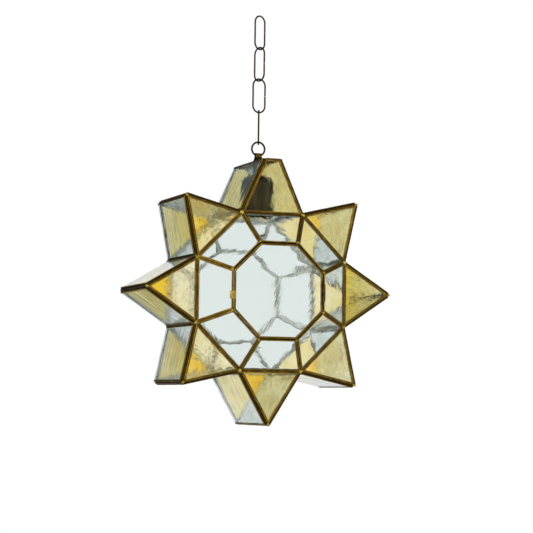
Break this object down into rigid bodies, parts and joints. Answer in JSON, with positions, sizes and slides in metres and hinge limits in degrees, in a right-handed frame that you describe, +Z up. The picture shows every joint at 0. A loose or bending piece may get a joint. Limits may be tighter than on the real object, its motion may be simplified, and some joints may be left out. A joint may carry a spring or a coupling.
{
  "type": "star pendant lantern",
  "caption": "Star-shaped hanging lantern of clear and amber panes in soldered brass channels, with a hinged front window, a lampholder in its top point, and a chain.",
  "frame": {"origin": "inside of the top bight of the chain's top link, where it bears on its ceiling hook", "axes": "+Z up; the front window, which is the door, faces -Y; +X to the right seen from the front"},
  "size_m": [0.4016, 0.202, 0.6488],
  "materials": {
    "came_brass": "aged, dark patina in the folds",
    "door_brass": "aged, rubbed brighter",
    "chain_brass": "antique brown patina",
    "bright_brass": "plain rolled sheet",
    "clear_glass": "drawn sheet glass",
    "amber_glass": "hammered cathedral glass",
    "bakelite": "moulded, black",
    "porcelain": "glazed, white",
    "screw_steel": "zinc plated"
  },
  "bodies": {
    "top_link": {"chain_link_4": "chain_brass"},
    "link_3": {"chain_link_3": "chain_brass"},
    "link_2": {"chain_link_2": "chain_brass"},
    "link_1": {"chain_link_1": "chain_brass"},
    "ring": {"hanging_ring": "chain_brass"},
    "lantern": {"top_point_face_cames": "came_brass", "top_point_amber_panes": "amber_glass", "top_point_side_cames": "came_brass", "top_point_side_panes": "clear_glass", "upper_right_point_face_cames": "came_brass", "upper_right_point_amber_panes": "amber_glass", "upper_right_point_side_cames": "came_brass", "upper_right_point_side_panes": "clear_glass", "right_point_face_cames": "came_brass", "right_point_amber_panes": "amber_glass", "right_point_side_cames": "came_brass", "right_point_side_panes": "clear_glass", "lower_right_point_face_cames": "came_brass", "lower_right_point_amber_panes": "amber_glass", "lower_right_point_side_cames": "came_brass", "lower_right_point_side_panes": "clear_glass", "bottom_point_face_cames": "came_brass", "bottom_point_amber_panes": "amber_glass", "bottom_point_side_cames": "came_brass", "bottom_point_side_panes": "clear_glass", "lower_left_point_face_cames": "came_brass", "lower_left_point_amber_panes": "amber_glass", "lower_left_point_side_cames": "came_brass", "lower_left_point_side_panes": "clear_glass", "left_point_face_cames": "came_brass", "left_point_amber_panes": "amber_glass", "left_point_side_cames": "came_brass", "left_point_side_panes": "clear_glass", "upper_left_point_face_cames": "came_brass", "upper_left_point_amber_panes": "amber_glass", "upper_left_point_side_cames": "came_brass", "upper_left_point_side_panes": "clear_glass", "front_bevel_cames": "came_brass", "front_bevel_panes": "clear_glass", "back_bevel_cames": "came_brass", "back_bevel_panes": "clear_glass", "back_window_came": "came_brass", "back_window_pane": "clear_glass", "fixed_hinge_leaf": "door_brass", "hinge_pin": "door_brass", "top_cap": "came_brass", "ring_strap": "chain_brass", "nipple": "bright_brass", "nipple_locknuts": "bright_brass", "lampholder_cap": "bakelite", "lampholder_skirt": "bakelite", "lampholder_insert": "porcelain", "lampholder_screw_shell": "bright_brass", "lampholder_contact": "bright_brass", "terminal_screws": "screw_steel"},
    "door": {"door_came": "door_brass", "door_pane": "clear_glass", "door_catch": "bright_brass", "door_hinge_leaf": "door_brass"}
  },
  "joints": [
    {"name": "link_3_swing", "type": "hinge", "parent": "top_link", "child": "link_3", "pos_m": [0, 0, -0.0521], "axis": [0.9128, 0.4083, 0], "range_deg": [-45, 45]},
    {"name": "link_2_swing", "type": "hinge", "parent": "link_3", "child": "link_2", "pos_m": [0, 0, -0.1026], "axis": [0.4083, -0.9128, 0], "range_deg": [-45, 45]},
    {"name": "link_1_swing", "type": "hinge", "parent": "link_2", "child": "link_1", "pos_m": [0, 0, -0.1531], "axis": [0.99, 0.1409, 0], "range_deg": [-45, 45]},
    {"name": "ring_swing", "type": "hinge", "parent": "link_1", "child": "ring", "pos_m": [0, 0, -0.2036], "axis": [0.3567, 0.9342, 0], "range_deg": [-45, 45]},
    {"name": "lantern_swing", "type": "hinge", "parent": "ring", "child": "lantern", "pos_m": [0, 0, -0.21125], "axis": [0, 1, 0], "range_deg": [-45, 45]},
    {"name": "door_hinge", "type": "hinge", "parent": "lantern", "child": "door", "pos_m": [0.07362, -0.10085, -0.44093], "axis": [0, 0, 1], "range_deg": [0, 110]}
  ]
}
